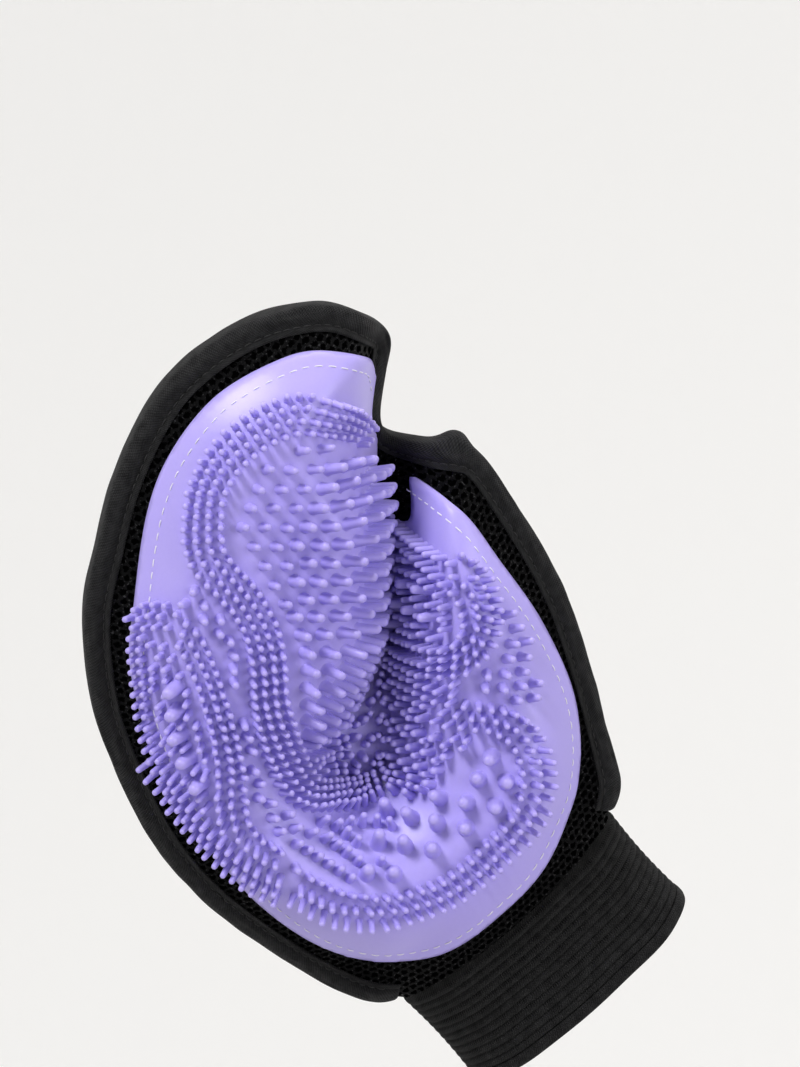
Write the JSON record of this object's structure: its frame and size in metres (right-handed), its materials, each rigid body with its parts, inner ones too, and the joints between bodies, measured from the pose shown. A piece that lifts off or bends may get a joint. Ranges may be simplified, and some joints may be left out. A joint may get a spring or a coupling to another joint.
{
  "type": "grooming glove",
  "caption": "Thumbless pet grooming mitt closed in a grip, with a lavender silicone bristle pad on black air mesh, a padded edge binding and a ribbed elastic wrist cuff.",
  "frame": {"origin": "centre of the cuff's open mouth, in the plane of its hem", "axes": "+Z runs from the cuff up to the finger end, -Y is the palm side with the bristles, +X is the thumb side"},
  "size_m": [0.1839, 0.0752, 0.274],
  "materials": {
    "air_mesh": "black spacer mesh with round holes",
    "lavender_silicone": "satin moulded silicone",
    "lilac_thread": "light lilac sewing thread",
    "black_thread": "black sewing thread",
    "binding_fabric": "black woven tape folded over the edge",
    "elastic_knit": "black ribbed elastic knit"
  },
  "bodies": {
    "thumb_side": {"palm_mesh_thumb": "air_mesh", "back_mesh_thumb": "air_mesh", "silicone_pad_thumb": "lavender_silicone", "edge_binding_thumb": "binding_fabric", "fine_bristles_thumb": "lavender_silicone", "medium_bristles_thumb": "lavender_silicone", "large_bristles_thumb": "lavender_silicone", "pad_stitching_thumb": "lilac_thread", "binding_stitching_thumb": "black_thread", "cuff_band": "elastic_knit", "cuff_hem": "elastic_knit", "cuff_joining_tape": "elastic_knit"},
    "finger_side": {"palm_mesh_finger": "air_mesh", "back_mesh_finger": "air_mesh", "silicone_pad_finger": "lavender_silicone", "edge_binding_finger": "binding_fabric", "fine_bristles_finger": "lavender_silicone", "medium_bristles_finger": "lavender_silicone", "large_bristles_finger": "lavender_silicone", "pad_stitching_finger": "lilac_thread", "binding_stitching_finger": "black_thread"}
  },
  "joints": [
    {"name": "palm_fold", "type": "hinge", "parent": "thumb_side", "child": "finger_side", "pos_m": [0.005, 0.034, 0.1215], "axis": [-0.6839, 0, -0.7295], "range_deg": [0, 20]}
  ]
}
